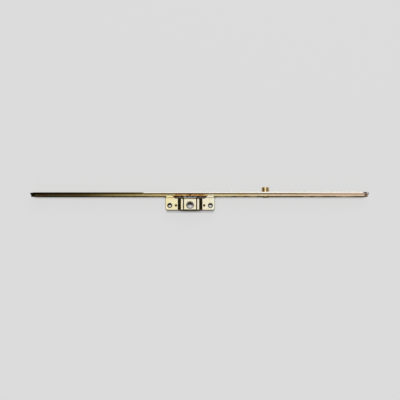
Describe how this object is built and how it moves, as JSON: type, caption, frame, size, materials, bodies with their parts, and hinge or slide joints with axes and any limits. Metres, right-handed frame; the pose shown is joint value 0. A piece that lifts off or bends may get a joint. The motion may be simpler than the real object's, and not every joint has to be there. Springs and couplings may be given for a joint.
{
  "type": "window espagnolette",
  "caption": "Slim window espagnolette: a faceplate with a sliding rod behind it, driven by a square-holed pinion in a pressed case, and a roller cam.",
  "frame": {"origin": "centre of the spindle hole, midway between the two handle screw holes and the two cheeks", "axes": "+X along the faceplate towards the roller cam, +Y out of the faceplate's front face, +Z along the spindle, up with the part lying on its side"},
  "size_m": [0.36, 0.0244, 0.016],
  "materials": {
    "faceplate_zinc": "yellow-passivated zinc, satin",
    "case_zinc": "yellow-passivated zinc, semi-bright",
    "rod_zinc": "yellow-passivated zinc, satin",
    "rack_zinc": "brown-gold passivated steel",
    "pinion_steel": "bare grey sintered steel",
    "roller_brass": "turned brass, bright",
    "stud_zinc": "yellow-passivated zinc",
    "sleeve_steel": "plain drawn steel tube",
    "slide_plastic": "black moulded plastic"
  },
  "bodies": {
    "case": {"faceplate": "faceplate_zinc", "case_near": "case_zinc", "case_far": "case_zinc", "screw_sleeve_left": "sleeve_steel", "screw_sleeve_right": "sleeve_steel", "case_rivet_left": "case_zinc", "case_rivet_right": "case_zinc", "guide_stud_1": "stud_zinc", "guide_slide_1": "slide_plastic", "guide_stud_2": "stud_zinc", "guide_slide_2": "slide_plastic", "guide_stud_3": "stud_zinc", "guide_slide_3": "slide_plastic", "guide_stud_4": "stud_zinc", "guide_slide_4": "slide_plastic"},
    "rod": {"drive_rod_left": "rod_zinc", "drive_rod_right": "rod_zinc", "rack_segment": "rack_zinc", "rack_rivet_left": "stud_zinc", "rack_rivet_right": "stud_zinc", "roller_stud": "stud_zinc"},
    "pinion": {"drive_pinion": "pinion_steel"},
    "roller": {"roller_sleeve": "roller_brass"}
  },
  "joints": [
    {"name": "rod_slide", "type": "slide", "parent": "case", "child": "rod", "axis": [1, 0, 0], "range_m": [-0.0084, 0.0084]},
    {"name": "spindle_turn", "type": "hinge", "parent": "case", "child": "pinion", "pos_m": [0, 0, 0], "axis": [0, 0, 1], "range_deg": [-45, 45]},
    {"name": "roller_spin", "type": "hinge", "parent": "rod", "child": "roller", "pos_m": [0.08, 0.017, 0], "axis": [0, 1, 0], "continuous": true}
  ],
  "couplings": [
    {"joint": "spindle_turn", "follows": "rod_slide", "rad_per_m": -93.493}
  ]
}
